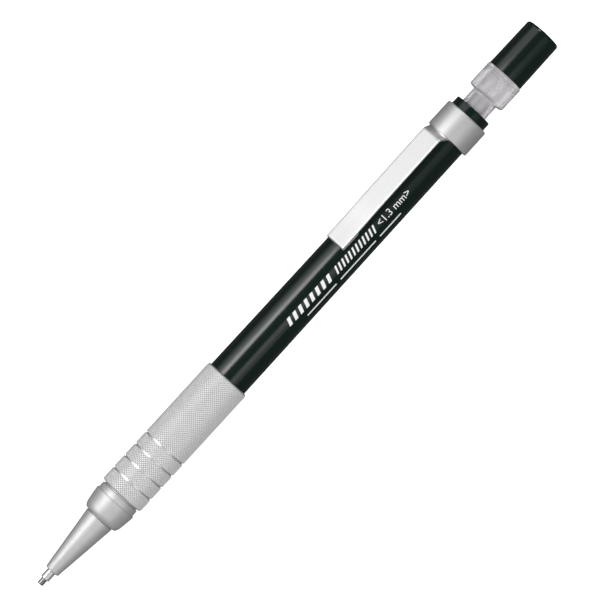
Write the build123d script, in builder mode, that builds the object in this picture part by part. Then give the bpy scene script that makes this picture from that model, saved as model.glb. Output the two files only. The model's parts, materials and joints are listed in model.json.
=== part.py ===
from build123d import *
import math
import os

os.makedirs("parts", exist_ok=True)

# Mechanical pencil for 1.3 mm lead, lying on a table with its clip up.
# +X runs from the lead's tip to the push cap, +Z is up through the clip, and Y = 0 is the mirror plane.
# Stations are distances in mm from the lead's tip along the pencil; radii are from the pencil's axis.

LENGTH = 146.7
GRIP_R = 4.93
AXIS_Z = GRIP_R
RUNNING_GAP = 0.05

# lead
LEAD_R = 0.65
LEAD_END = 38.0
LEAD_TIP_EDGE = 0.12

# guide pipe
PIPE_R = 0.97
PIPE_START = 1.47
PIPE_END = 8.4
PIPE_EDGE = 0.15
PIPE_SHANK_R = 1.2

# cone
CONE_START = 3.53
CONE_END = 17.5
CONE_FRONT_R = 1.55
CONE_REAR_R = 3.2
CONE_EDGE = 0.3
CONE_SPIGOT_R = 2.75
CONE_SPIGOT_END = 21.4
RETAINER_R = 1.35
RETAINER_END = 10.7
JAW_CHAMBER_R = 1.95
CLUTCH_STOP = 14.0
CLUTCH_CHAMBER_R = 2.2

# collar and core tube
COLLAR_START = 17.55
COLLAR_END = 22.06
COLLAR_FRONT_R = 3.45
COLLAR_SHOULDER = (18.24, 4.11)
COLLAR_MIDDLE = (19.8, 4.42)
COLLAR_REAR_R = 4.7
COLLAR_FRONT_SLOPE = (0.1, 1)
COLLAR_REAR_SLOPE = (1, 0.05)
COLLAR_STEP = 19.0
CORE_SPIGOT_R = 3.4
NECK_R = 4.42
NECK_END = 23.73
CORE_R = 3.9
CORE_BORE_R = 2.6
CORE_REAR_SPIGOT_R = 3.3
CORE_END = 62.0

# grip
GRIP_END = 54.7
GRIP_EDGE = 0.5
GROOVE_STATIONS = (26.96, 30.1, 33.2, 36.3)
GROOVE_WIDTH = 0.4
GROOVE_DEPTH = 0.3

# barrel
BARREL_END = 126.1
BARREL_FRONT_R = 4.39
BARREL_REAR_R = 4.10
BARREL_EDGE = 0.2
BARREL_BORE_R = 3.1
BEARING_START = 116.0
STEM_R = 2.91
STEM_BORE_R = STEM_R + RUNNING_GAP

# clip
RING_START = 118.3
RING_END = 124.3
RING_R = 4.86
RING_EDGE = 0.4
ARM_START = 88.4
ARM_WIDTH = 4.86
ARM_THICKNESS = 0.38
ARM_END_TOP = 5.08
ARM_KNEE = 94.0
ARM_ROOT_TOP = 5.62
ARM_JOGGLE_END = 116.7
NOSE_R = 0.41
SLIT_START = 88.95
TAB_STRAIGHT_END = 92.0
TAB_ROUND = 2.6
ARM_ROOT_HALF_ANGLE = 40.0

# knob
STEM_START = 112.0
TANK_SOCKET_END = 129.0
LOADING_BORE_R = 1.05
FLANGE_START = 129.5
FLANGE_END = 135.2
FLANGE_R = 4.18
FLANGE_EDGE = 0.6
FLANGE_RIM = 0.2
CUP_START = 129.9
CUP_R = 2.6
SPIGOT_R = 3.3
SPIGOT_END = 139.5

# cap
CAP_MOUTH_R = 3.98
CAP_END_R = 3.88
CAP_EDGE = 0.6
CAP_DOME = 0.3
CAP_DOME_SLOPE = (0.18, -1)
CAP_BORE_R = SPIGOT_R + 0.04
CAP_BORE_END = 144.2

# eraser
ERASER_R = CUP_R - 0.02
ERASER_START = 130.6
ERASER_END = 142.4
ERASER_EDGE = 0.3

# chuck
CHUCK_GRIP_R = LEAD_R + 0.01
CHUCK_BORE_R = 0.75
JAW_START = 14.6
JAW_HEAD_R = 1.55
JAW_HEAD_END = 15.25
JAW_SHANK_START = 16.85
JAW_SHANK_R = 1.15
JAW_GRIP_END = 18.2
JAW_HINGE = 24.0
JAW_ROOT_GAP = 0.03
JAW_SLOT = 0.3
JAW_ANGLES = (0, 120, 240)
CHUCK_BODY_END = 37.0

# clutch ring
CLUTCH_START = 15.25
CLUTCH_END = 17.4
CLUTCH_R = 2.12
CLUTCH_FRONT_BORE_R = 1.58
CLUTCH_REAR_BORE_R = 1.4

# spring seat
SLEEVE_START = 17.45
SLEEVE_BORE_R = 1.75
SEAT_START = 21.45
SEAT_END = 22.3
SEAT_R = 2.7
SEAT_HOLE_R = 1.45

# spring
SPRING_MEAN_R = 1.78
WIRE_R = 0.2
SPRING_END = 33.0
SPRING_TURNS = 9

# chuck joint and tank
JOINT_R = 2.52
FUNNEL_START = 37.0
FUNNEL_END = 39.6
JOINT_SOCKET_START = 40.0
JOINT_END = 46.0
TANK_R = 2.1
TANK_BORE_R = 1.75
TANK_LEAD_START = 68.4
SPARE_LENGTH = 60.0

AXIAL = Plane(origin=(-LENGTH / 2, 0, AXIS_Z), x_dir=(1, 0, 0), z_dir=(0, -1, 0))
PENCIL_AXIS = Axis((0, 0, AXIS_Z), (1, 0, 0))


def barrel_radius(station):
    """Outer radius of the tapered barrel at a station."""
    share = (station - GRIP_END) / (BARREL_END - GRIP_END)
    return BARREL_FRONT_R + share * (BARREL_REAR_R - BARREL_FRONT_R)


def row_x(station):
    """X of a station, with X = 0 at mid length."""
    return station - LENGTH / 2


def cross_plane(station):
    """Plane across the pencil at a station: local x is Y, local y is Z, normal +X."""
    return Plane(origin=(row_x(station), 0, AXIS_Z), x_dir=(0, 1, 0), z_dir=(1, 0, 0))


def turn(*points, mode=Mode.ADD):
    """Revolve a closed profile of (station, radius) corners about the pencil's axis."""
    with BuildSketch(AXIAL) as profile:
        with BuildLine():
            Polyline(*points, close=True)
        make_face()
    revolve(profile.sketch, axis=PENCIL_AXIS, mode=mode)


def edges_at(part, station, radius):
    """Circular edges of a part at one station and radius."""
    return [
        e
        for e in part.edges().filter_by(GeomType.CIRCLE)
        if abs(e.arc_center.X - row_x(station)) < 1e-4 and abs(e.radius - radius) < 1e-4
    ]


# ---------------------------------------------------------------- lead

with BuildPart() as lead_core:
    turn((0, 0), (0, LEAD_R), (LEAD_END, LEAD_R), (LEAD_END, 0))
    fillet(edges_at(lead_core.part, 0, LEAD_R), LEAD_TIP_EDGE)

# ---------------------------------------------------------------- point

with BuildPart() as guide_pipe:
    turn(
        (PIPE_START, LEAD_R + RUNNING_GAP),
        (PIPE_START, PIPE_R),
        (CONE_START, PIPE_R),
        (CONE_START, PIPE_SHANK_R),
        (PIPE_END, PIPE_SHANK_R),
        (PIPE_END, LEAD_R + RUNNING_GAP),
    )
    fillet(edges_at(guide_pipe.part, PIPE_START, PIPE_R), PIPE_EDGE)

with BuildPart() as tip_cone:
    turn(
        (CONE_START, PIPE_SHANK_R),
        (CONE_START, CONE_FRONT_R),
        (CONE_END, CONE_REAR_R),
        (CONE_END, CONE_SPIGOT_R),
        (CONE_SPIGOT_END, CONE_SPIGOT_R),
        (CONE_SPIGOT_END, CLUTCH_CHAMBER_R),
        (CLUTCH_STOP, CLUTCH_CHAMBER_R),
        (CLUTCH_STOP, JAW_CHAMBER_R),
        (RETAINER_END, JAW_CHAMBER_R),
        (RETAINER_END, RETAINER_R),
        (PIPE_END, RETAINER_R),
        (PIPE_END, PIPE_SHANK_R),
    )
    fillet(edges_at(tip_cone.part, CONE_START, CONE_FRONT_R), CONE_EDGE)

with BuildPart() as lead_retainer:
    turn(
        (PIPE_END, CHUCK_GRIP_R),
        (PIPE_END, RETAINER_R),
        (RETAINER_END, RETAINER_R),
        (RETAINER_END, CHUCK_GRIP_R),
    )

with BuildPart() as nose_collar:
    with BuildSketch(AXIAL):
        with BuildLine():
            Line((COLLAR_START, CONE_SPIGOT_R), (COLLAR_START, COLLAR_FRONT_R))
            Spline(
                (COLLAR_START, COLLAR_FRONT_R),
                COLLAR_SHOULDER,
                COLLAR_MIDDLE,
                (COLLAR_END, COLLAR_REAR_R),
                tangents=(COLLAR_FRONT_SLOPE, COLLAR_REAR_SLOPE),
            )
            Polyline(
                (COLLAR_END, COLLAR_REAR_R),
                (COLLAR_END, CORE_SPIGOT_R),
                (COLLAR_STEP, CORE_SPIGOT_R),
                (COLLAR_STEP, CONE_SPIGOT_R),
                (COLLAR_START, CONE_SPIGOT_R),
            )
        make_face()
    revolve(axis=PENCIL_AXIS)

# ---------------------------------------------------------------- grip

with BuildPart() as core_tube:
    turn(
        (COLLAR_STEP, CONE_SPIGOT_R),
        (COLLAR_STEP, CORE_SPIGOT_R),
        (COLLAR_END, CORE_SPIGOT_R),
        (COLLAR_END, NECK_R),
        (NECK_END, NECK_R),
        (NECK_END, CORE_R),
        (GRIP_END, CORE_R),
        (GRIP_END, CORE_REAR_SPIGOT_R),
        (CORE_END, CORE_REAR_SPIGOT_R),
        (CORE_END, CORE_BORE_R),
        (SEAT_END, CORE_BORE_R),
        (SEAT_END, CONE_SPIGOT_R),
    )

with BuildPart() as grip_sleeve:
    turn((NECK_END, CORE_R), (NECK_END, GRIP_R), (GRIP_END, GRIP_R), (GRIP_END, CORE_R))
    fillet(edges_at(grip_sleeve.part, NECK_END, GRIP_R), GRIP_EDGE)
    fillet(edges_at(grip_sleeve.part, GRIP_END, GRIP_R), GRIP_EDGE)
    for station in GROOVE_STATIONS:
        turn(
            (station - GROOVE_WIDTH / 2, GRIP_R - GROOVE_DEPTH),
            (station - GROOVE_WIDTH / 2, GRIP_R + GROOVE_DEPTH),
            (station + GROOVE_WIDTH / 2, GRIP_R + GROOVE_DEPTH),
            (station + GROOVE_WIDTH / 2, GRIP_R - GROOVE_DEPTH),
            mode=Mode.SUBTRACT,
        )

# ---------------------------------------------------------------- barrel

with BuildPart() as barrel:
    turn(
        (GRIP_END, CORE_REAR_SPIGOT_R),
        (GRIP_END, BARREL_FRONT_R),
        (BARREL_END, BARREL_REAR_R),
        (BARREL_END, STEM_BORE_R),
        (BEARING_START, STEM_BORE_R),
        (BEARING_START, BARREL_BORE_R),
        (CORE_END, BARREL_BORE_R),
        (CORE_END, CORE_REAR_SPIGOT_R),
    )
    fillet(edges_at(barrel.part, BARREL_END, BARREL_REAR_R), BARREL_EDGE)

# ---------------------------------------------------------------- clip

with BuildPart() as clip_ring:
    turn(
        (RING_START, barrel_radius(RING_START)),
        (RING_START, RING_R),
        (RING_END, RING_R),
        (RING_END, barrel_radius(RING_END)),
    )
    fillet(edges_at(clip_ring.part, RING_END, RING_R), RING_EDGE)

with BuildPart() as clip_arm:
    # side view of the flat spring: its free end is folded under into a tab that rests on the barrel
    with BuildSketch(AXIAL):
        with BuildLine():
            nose_centre = ARM_START + NOSE_R
            tab_under = ARM_END_TOP - 2 * NOSE_R
            Polyline(
                (nose_centre, tab_under),
                (TAB_STRAIGHT_END, tab_under),
                (TAB_STRAIGHT_END, tab_under + ARM_THICKNESS),
                (SLIT_START, tab_under + ARM_THICKNESS),
                (SLIT_START, ARM_END_TOP - ARM_THICKNESS),
                (ARM_KNEE, ARM_END_TOP - ARM_THICKNESS),
                (ARM_JOGGLE_END, ARM_ROOT_TOP - ARM_THICKNESS),
                (ARM_JOGGLE_END, ARM_ROOT_TOP),
                (ARM_KNEE, ARM_END_TOP),
                (nose_centre, ARM_END_TOP),
            )
            ThreePointArc((nose_centre, ARM_END_TOP), (ARM_START, ARM_END_TOP - NOSE_R), (nose_centre, tab_under))
        make_face()
    extrude(amount=ARM_WIDTH / 2, both=True)
    # rounded end of the tab
    with BuildSketch(Plane(origin=(row_x(TAB_STRAIGHT_END), 0, AXIS_Z + tab_under), z_dir=(0, 0, 1))):
        Ellipse(TAB_ROUND, ARM_WIDTH / 2)
    extrude(amount=ARM_THICKNESS)
    # root: the flat arm turns into the ring's curved wall
    with BuildSketch(cross_plane(ARM_JOGGLE_END)) as arm_section:
        with Locations((0, ARM_ROOT_TOP - ARM_THICKNESS / 2)):
            Rectangle(ARM_WIDTH, ARM_THICKNESS)
    with BuildSketch(cross_plane(RING_START)) as root_section:
        with BuildLine():
            half = math.radians(ARM_ROOT_HALF_ANGLE)
            ring_bore_r = barrel_radius(RING_START)
            outer_corner = (RING_R * math.sin(half), RING_R * math.cos(half))
            inner_corner = (ring_bore_r * math.sin(half), ring_bore_r * math.cos(half))
            ThreePointArc((-outer_corner[0], outer_corner[1]), (0, RING_R), outer_corner)
            Line(outer_corner, inner_corner)
            ThreePointArc(inner_corner, (0, ring_bore_r), (-inner_corner[0], inner_corner[1]))
            Line((-inner_corner[0], inner_corner[1]), (-outer_corner[0], outer_corner[1]))
        make_face()
    loft([arm_section.sketch, root_section.sketch], ruled=True)

# ---------------------------------------------------------------- push knob and cap

with BuildPart() as knob:
    turn(
        (STEM_START, TANK_R),
        (STEM_START, STEM_R),
        (FLANGE_START, STEM_R),
        (FLANGE_START, FLANGE_R),
        (FLANGE_END, FLANGE_R),
        (FLANGE_END, SPIGOT_R),
        (SPIGOT_END, SPIGOT_R),
        (SPIGOT_END, CUP_R),
        (CUP_START, CUP_R),
        (CUP_START, LOADING_BORE_R),
        (TANK_SOCKET_END, LOADING_BORE_R),
        (TANK_SOCKET_END, TANK_R),
    )
    fillet(edges_at(knob.part, FLANGE_START, FLANGE_R), FLANGE_EDGE)
    fillet(edges_at(knob.part, FLANGE_END, FLANGE_R), FLANGE_RIM)

with BuildPart() as eraser:
    turn((ERASER_START, 0), (ERASER_START, ERASER_R), (ERASER_END, ERASER_R), (ERASER_END, 0))
    fillet(edges_at(eraser.part, ERASER_END, ERASER_R), ERASER_EDGE)

with BuildPart() as cap:
    with BuildSketch(AXIAL):
        with BuildLine():
            Polyline(
                (LENGTH, 0),
                (CAP_BORE_END, 0),
                (CAP_BORE_END, CAP_BORE_R),
                (FLANGE_END, CAP_BORE_R),
                (FLANGE_END, CAP_MOUTH_R),
                (LENGTH - CAP_DOME, CAP_END_R),
            )
            Spline((LENGTH - CAP_DOME, CAP_END_R), (LENGTH, 0), tangents=(CAP_DOME_SLOPE, (0, -1)))
        make_face()
    revolve(axis=PENCIL_AXIS)
    fillet(edges_at(cap.part, LENGTH - CAP_DOME, CAP_END_R), CAP_EDGE)

# ---------------------------------------------------------------- lead-advance mechanism


def make_jaw(angle):
    """One chuck jaw: a third of the split head and shank, at an angle from straight up."""
    with BuildPart() as jaw:
        turn(
            (JAW_START, CHUCK_GRIP_R),
            (JAW_START, JAW_HEAD_R),
            (JAW_HEAD_END, JAW_HEAD_R),
            (JAW_SHANK_START, JAW_SHANK_R),
            (JAW_HINGE - JAW_ROOT_GAP, JAW_SHANK_R),
            (JAW_HINGE - JAW_ROOT_GAP, CHUCK_BORE_R),
            (JAW_GRIP_END, CHUCK_BORE_R),
            (JAW_GRIP_END, CHUCK_GRIP_R),
        )
        for side in (-1, 1):
            # the slot's wall is half a slot inside the plane that divides this jaw from the next
            wall = math.radians(angle + side * JAW_ANGLES[1] / 2)
            outward = (0, -side * math.cos(wall), side * math.sin(wall))
            origin = (0, outward[1] * JAW_SLOT / 2, AXIS_Z + outward[2] * JAW_SLOT / 2)
            split(bisect_by=Plane(origin=origin, z_dir=outward), keep=Keep.TOP)
    return jaw


chuck_jaw_1, chuck_jaw_2, chuck_jaw_3 = [make_jaw(angle) for angle in JAW_ANGLES]

with BuildPart() as chuck_body:
    turn(
        (JAW_HINGE, CHUCK_BORE_R),
        (JAW_HINGE, JAW_SHANK_R),
        (CHUCK_BODY_END, JAW_SHANK_R),
        (CHUCK_BODY_END, CHUCK_BORE_R),
    )

with BuildPart() as clutch_ring:
    turn(
        (CLUTCH_START, CLUTCH_FRONT_BORE_R),
        (CLUTCH_START, CLUTCH_R),
        (CLUTCH_END, CLUTCH_R),
        (CLUTCH_END, CLUTCH_REAR_BORE_R),
    )

with BuildPart() as chuck_sleeve:
    turn(
        (SLEEVE_START, SLEEVE_BORE_R),
        (SLEEVE_START, CLUTCH_CHAMBER_R),
        (SEAT_START, CLUTCH_CHAMBER_R),
        (SEAT_START, SEAT_R),
        (SEAT_END, SEAT_R),
        (SEAT_END, SEAT_HOLE_R),
        (SEAT_START, SEAT_HOLE_R),
        (SEAT_START, SLEEVE_BORE_R),
    )

with BuildPart() as return_spring:
    spring_height = SPRING_END - SEAT_END - 2 * WIRE_R
    spring_start = SEAT_END + WIRE_R
    with BuildLine() as coil:
        Helix(
            pitch=spring_height / SPRING_TURNS,
            height=spring_height,
            radius=SPRING_MEAN_R,
            center=(row_x(spring_start), 0, AXIS_Z),
            direction=(1, 0, 0),
        )
    with BuildSketch(Plane(origin=coil.line @ 0, z_dir=coil.line % 0)):
        Circle(WIRE_R)
    sweep(is_frenet=True)

with BuildPart() as chuck_joint:
    turn(
        (SPRING_END, JAW_SHANK_R),
        (SPRING_END, JOINT_R),
        (JOINT_END, JOINT_R),
        (JOINT_END, TANK_R),
        (JOINT_SOCKET_START, TANK_R),
        (JOINT_SOCKET_START, TANK_BORE_R),
        (FUNNEL_END, TANK_BORE_R),
        (FUNNEL_START, CHUCK_BORE_R),
        (CHUCK_BODY_END, JAW_SHANK_R),
    )

with BuildPart() as lead_tank:
    turn(
        (JOINT_SOCKET_START, TANK_BORE_R),
        (JOINT_SOCKET_START, TANK_R),
        (TANK_SOCKET_END, TANK_R),
        (TANK_SOCKET_END, TANK_BORE_R),
    )


def make_spare_lead(across, up):
    """One spare lead lying along the tank, off the axis by (across, up)."""
    with BuildPart() as stick:
        with BuildSketch(cross_plane(TANK_LEAD_START)):
            with Locations((across, up)):
                Circle(LEAD_R)
        extrude(amount=SPARE_LENGTH)
    return stick


# two leads lie side by side on the tank's floor and the third rests on both
SPARE_PITCH = 2 * LEAD_R + 0.01
SPARE_ORBIT = TANK_BORE_R - LEAD_R - 0.01
FLOOR_DROP = math.sqrt(SPARE_ORBIT**2 - (SPARE_PITCH / 2) ** 2)
TOP_RISE = math.sqrt(SPARE_PITCH**2 - (SPARE_PITCH / 2) ** 2) - FLOOR_DROP
spare_lead_1 = make_spare_lead(-SPARE_PITCH / 2, -FLOOR_DROP)
spare_lead_2 = make_spare_lead(SPARE_PITCH / 2, -FLOOR_DROP)
spare_lead_3 = make_spare_lead(0, TOP_RISE)

# ---------------------------------------------------------------- export

PIECES = {
    "lead_core": lead_core,
    "guide_pipe": guide_pipe,
    "tip_cone": tip_cone,
    "lead_retainer": lead_retainer,
    "nose_collar": nose_collar,
    "core_tube": core_tube,
    "grip_sleeve": grip_sleeve,
    "barrel": barrel,
    "clip_ring": clip_ring,
    "clip_arm": clip_arm,
    "knob": knob,
    "eraser": eraser,
    "cap": cap,
    "chuck_jaw_1": chuck_jaw_1,
    "chuck_jaw_2": chuck_jaw_2,
    "chuck_jaw_3": chuck_jaw_3,
    "chuck_body": chuck_body,
    "clutch_ring": clutch_ring,
    "chuck_sleeve": chuck_sleeve,
    "return_spring": return_spring,
    "chuck_joint": chuck_joint,
    "lead_tank": lead_tank,
    "spare_lead_1": spare_lead_1,
    "spare_lead_2": spare_lead_2,
    "spare_lead_3": spare_lead_3,
}

for name, piece in PIECES.items():
    piece.part.label = name
    export_step(piece.part, f"parts/{name}.step")
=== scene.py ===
"""Mechanical pencil for 1.3 mm lead, built as turned, stamped and moulded surfaces around its CAD frame.

The pencil lies along +X with its clip up. Every size is in millimetres: a station is a distance from
the lead's tip along the pencil, and a radius is from the pencil's axis. The Datum turns both into
metres in the shared frame.
"""

import json
import logging
import math
from dataclasses import dataclass
from enum import Enum

import bmesh
import bpy
import numpy as np
from mathutils import Matrix, Vector


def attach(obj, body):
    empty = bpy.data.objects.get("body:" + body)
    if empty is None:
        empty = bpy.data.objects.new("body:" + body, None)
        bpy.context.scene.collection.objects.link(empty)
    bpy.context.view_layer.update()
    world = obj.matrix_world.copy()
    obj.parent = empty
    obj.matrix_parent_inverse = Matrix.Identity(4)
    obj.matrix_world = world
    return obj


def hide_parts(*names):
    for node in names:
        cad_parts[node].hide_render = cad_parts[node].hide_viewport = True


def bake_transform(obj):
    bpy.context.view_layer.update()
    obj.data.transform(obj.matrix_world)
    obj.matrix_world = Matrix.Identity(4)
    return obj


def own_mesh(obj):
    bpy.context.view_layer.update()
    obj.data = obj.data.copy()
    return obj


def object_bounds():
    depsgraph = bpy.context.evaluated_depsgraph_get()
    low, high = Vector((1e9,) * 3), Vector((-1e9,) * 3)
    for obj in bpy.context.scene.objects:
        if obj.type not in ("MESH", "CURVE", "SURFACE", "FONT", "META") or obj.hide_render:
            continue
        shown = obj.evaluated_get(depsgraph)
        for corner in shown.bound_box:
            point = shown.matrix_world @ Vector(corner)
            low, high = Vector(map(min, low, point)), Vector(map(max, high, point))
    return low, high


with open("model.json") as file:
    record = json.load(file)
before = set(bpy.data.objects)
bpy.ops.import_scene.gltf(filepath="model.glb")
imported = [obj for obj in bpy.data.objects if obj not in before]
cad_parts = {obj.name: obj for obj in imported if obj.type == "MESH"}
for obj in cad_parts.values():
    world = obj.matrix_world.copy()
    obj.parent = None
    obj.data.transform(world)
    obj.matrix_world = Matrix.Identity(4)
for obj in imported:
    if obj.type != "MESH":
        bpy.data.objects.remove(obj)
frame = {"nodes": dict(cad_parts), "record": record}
CAD_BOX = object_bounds()

LOG = logging.getLogger("pencil")
MM = 0.001
AROUND = 192
WELD = 1e-8
COAT_ROUGHNESS = 0.08
FULL_TURN = 2 * math.pi


# ------------------------------------------------------------------ datum and surfaces


@dataclass(frozen=True)
class Datum:
    """Where the pencil's tip and axis lie in the frame, in metres."""

    tip_x: float
    axis_z: float

    @classmethod
    def from_frame(cls) -> "Datum":
        """Read the tip from the model's box and the axis from the grip's mount.

        Returns:
            The datum of the loaded frame.
        """
        grip = next(m for m in frame["record"]["mounts"] if m["name"] == "grip")
        return cls(tip_x=float(CAD_BOX[0][0]), axis_z=float(grip["pos_m"][2]))

    def place(self, station: np.ndarray, across: np.ndarray, up: np.ndarray) -> np.ndarray:
        """Frame points of millimetre places beside the axis.

        Formula: x = tip + station, y = across, z = axis + up, each times 0.001.

        Args:
            station: distances from the lead's tip.
            across: distances from the axis along +Y.
            up: distances from the axis along +Z.

        Returns:
            Points in metres, with x, y and z on a new last axis.
        """
        station, across, up = np.broadcast_arrays(station, across, up)
        return np.stack(
            [self.tip_x + station * MM, across * MM, self.axis_z + up * MM], axis=-1
        )

    def point(self, station: float, up: float = 0.0) -> Vector:
        """One frame point in the mirror plane.

        Args:
            station: distance from the lead's tip.
            up: distance from the axis along +Z.

        Returns:
            The point in metres.
        """
        return Vector(self.place(np.array(station), np.array(0.0), np.array(up)).tolist())


DATUM = Datum.from_frame()


@dataclass(frozen=True)
class Corner:
    """A corner of a turned outline: its station, its radius and how far it is rounded."""

    station: float
    radius: float
    rounding: float = 0.0


def rounded_outline(corners: list[Corner], closed: bool = True, steps: int = 6) -> np.ndarray:
    """Outline through corners, with an arc in place of each rounded one.

    Formula: an arc of radius q in a corner of opening angle b starts q / tan(b / 2) from the corner,
    and its centre lies q / sin(b / 2) along the corner's bisector.

    Args:
        corners: the corners in order.
        closed: whether the last corner joins the first.
        steps: spans of each arc.

    Returns:
        Points as (station, radius) rows.
    """
    places = np.array([(c.station, c.radius) for c in corners], float)
    points: list[np.ndarray] = []
    count = len(corners)
    for i, corner in enumerate(corners):
        here = places[i]
        inner = closed or 0 < i < count - 1
        if corner.rounding <= 0 or not inner:
            points.append(here[None])
            continue
        back = places[i - 1] - here
        ahead = places[(i + 1) % count] - here
        back /= np.linalg.norm(back)
        ahead /= np.linalg.norm(ahead)
        half = math.acos(float(np.clip(back @ ahead, -1, 1))) / 2
        bisector = (back + ahead) / np.linalg.norm(back + ahead)
        centre = here + bisector * corner.rounding / math.sin(half)
        reach = corner.rounding / math.tan(half)
        first = here + back * reach - centre
        last = here + ahead * reach - centre
        turn = math.atan2(first[0] * last[1] - first[1] * last[0], float(first @ last))
        angles = np.linspace(0, turn, steps + 1)
        cosines, sines = np.cos(angles), np.sin(angles)
        arc = np.stack(
            [first[0] * cosines - first[1] * sines, first[0] * sines + first[1] * cosines], axis=1
        )
        points.append(arc + centre)
    return np.concatenate(points)


def curve_through(points: list[tuple[float, float]], start: tuple[float, float], end: tuple[float, float],
                  steps: int = 8) -> np.ndarray:
    """Smooth curve through points.

    Formula: a cubic Hermite span between each pair, with each inner tangent half the step from the
    point before to the point after.

    Args:
        points: the (station, radius) places in order.
        start: tangent at the first point.
        end: tangent at the last point.
        steps: spans between two points.

    Returns:
        Points as (station, radius) rows.
    """
    knots = np.array(points, float)
    tangents = np.empty_like(knots)
    tangents[1:-1] = (knots[2:] - knots[:-2]) / 2
    tangents[0], tangents[-1] = start, end
    share = np.linspace(0, 1, steps, endpoint=False)[:, None]
    spans = [
        knots[i] * (2 * share**3 - 3 * share**2 + 1)
        + tangents[i] * (share**3 - 2 * share**2 + share)
        + knots[i + 1] * (3 * share**2 - 2 * share**3)
        + tangents[i + 1] * (share**3 - share**2)
        for i in range(len(knots) - 1)
    ]
    return np.concatenate([*spans, knots[-1:]])


def grid_quads(rows: int, columns: int, wrap_rows: bool, wrap_columns: bool) -> np.ndarray:
    """Corner indices of the quads between the points of a grid.

    Args:
        rows: number of rows.
        columns: points in each row.
        wrap_rows: whether the last row joins the first.
        wrap_columns: whether each row closes on itself.

    Returns:
        One row of four point indices per quad.
    """
    row = np.arange(rows if wrap_rows else rows - 1)[:, None]
    column = np.arange(columns if wrap_columns else columns - 1)[None, :]
    below, right = (row + 1) % rows, (column + 1) % columns
    corners = ((row, column), (below, column), (below, right), (row, right))
    return np.stack([(at_row * columns + at_column).ravel() for at_row, at_column in corners], axis=1)


def vertex_places(mesh: bpy.types.Mesh) -> np.ndarray:
    """The places of a mesh's vertices.

    Args:
        mesh: the mesh.

    Returns:
        One row of x, y and z per vertex.
    """
    places = np.empty(len(mesh.vertices) * 3, np.float32)
    mesh.vertices.foreach_get("co", places)
    return places.reshape(-1, 3)


def make_piece(name: str, points: np.ndarray, faces: np.ndarray, crease: float = 32.0) -> bpy.types.Object:
    """A closed mesh object from points and faces, welded, facing outwards and smooth between creases.

    Args:
        name: the piece's name.
        points: points in metres.
        faces: point indices, one row per face.
        crease: smallest angle between faces, in degrees, that stays a sharp edge.

    Returns:
        The new object, linked to the scene.
    """
    mesh = bpy.data.meshes.new(name)
    mesh.from_pydata(points.reshape(-1, 3).tolist(), [], faces.tolist())
    shape = bmesh.new()
    shape.from_mesh(mesh)
    bmesh.ops.remove_doubles(shape, verts=shape.verts[:], dist=WELD)
    if shape.calc_volume(signed=True) < 0:
        bmesh.ops.reverse_faces(shape, faces=shape.faces[:])
    shape.to_mesh(mesh)
    shape.free()
    mesh.polygons.foreach_set("use_smooth", np.ones(len(mesh.polygons), bool))
    mesh.set_sharp_from_angle(angle=math.radians(crease))
    mesh.update()
    piece = bpy.data.objects.new(name, mesh)
    bpy.context.scene.collection.objects.link(piece)
    return piece


def turned(name: str, outline: np.ndarray, closed: bool = True, around: int = AROUND,
           across: float = 0.0, up: float = 0.0) -> bpy.types.Object:
    """A turned piece: an outline carried round an axis parallel to the pencil's.

    Formula: y = across + r sin(a), z = up + r cos(a), for each outline point and each angle a.

    Args:
        name: the piece's name.
        outline: (station, radius) rows.
        closed: whether the outline's last point joins its first.
        around: number of points round the axis.
        across: the turning axis's distance from the pencil's axis along +Y.
        up: the turning axis's distance from the pencil's axis along +Z.

    Returns:
        The new object.
    """
    angle = np.linspace(0, FULL_TURN, around, endpoint=False)[None, :]
    station, radius = outline[:, 0:1], outline[:, 1:2]
    points = DATUM.place(station, across + radius * np.sin(angle), up + radius * np.cos(angle))
    return make_piece(name, points, grid_quads(len(outline), around, closed, True))


# ------------------------------------------------------------------ finishes


class Grain(Enum):
    """How a surface was worked: stretch of its grain along X, and across, in cells per metre."""

    TURNED = (5200.0, 90.0)
    DRAWN = (160.0, 6500.0)
    BLASTED = (9000.0, 9000.0)
    MOULDED = (2600.0, 2600.0)
    POLISHED = (700.0, 700.0)


class Sockets:
    """Short way to add and join the nodes of one node tree."""

    def __init__(self, tree: bpy.types.NodeTree) -> None:
        """Keep the tree that nodes are added to.

        Args:
            tree: the node tree.
        """
        self.tree = tree

    def add(self, kind: str, **values: object) -> bpy.types.Node:
        """Add a node, setting its properties by name.

        Args:
            kind: the node's type name.
            **values: property names and values.

        Returns:
            The new node.
        """
        node = self.tree.nodes.new(kind)
        for key, value in values.items():
            setattr(node, key, value)
        return node

    def join(self, source: bpy.types.NodeSocket, target: bpy.types.NodeSocket) -> None:
        """Join two sockets.

        Args:
            source: an output socket.
            target: the input socket that it feeds.
        """
        self.tree.links.new(source, target)

    def math(self, operation: str, first: object, second: object) -> bpy.types.NodeSocket:
        """One math node on two numbers or sockets.

        Args:
            operation: the node's operation.
            first: a number or a socket.
            second: a number or a socket.

        Returns:
            The result socket.
        """
        node = self.add("ShaderNodeMath", operation=operation)
        for slot, value in zip(node.inputs, (first, second)):
            if isinstance(value, (int, float)):
                slot.default_value = value
            else:
                self.join(value, slot)
        return node.outputs[0]


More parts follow.
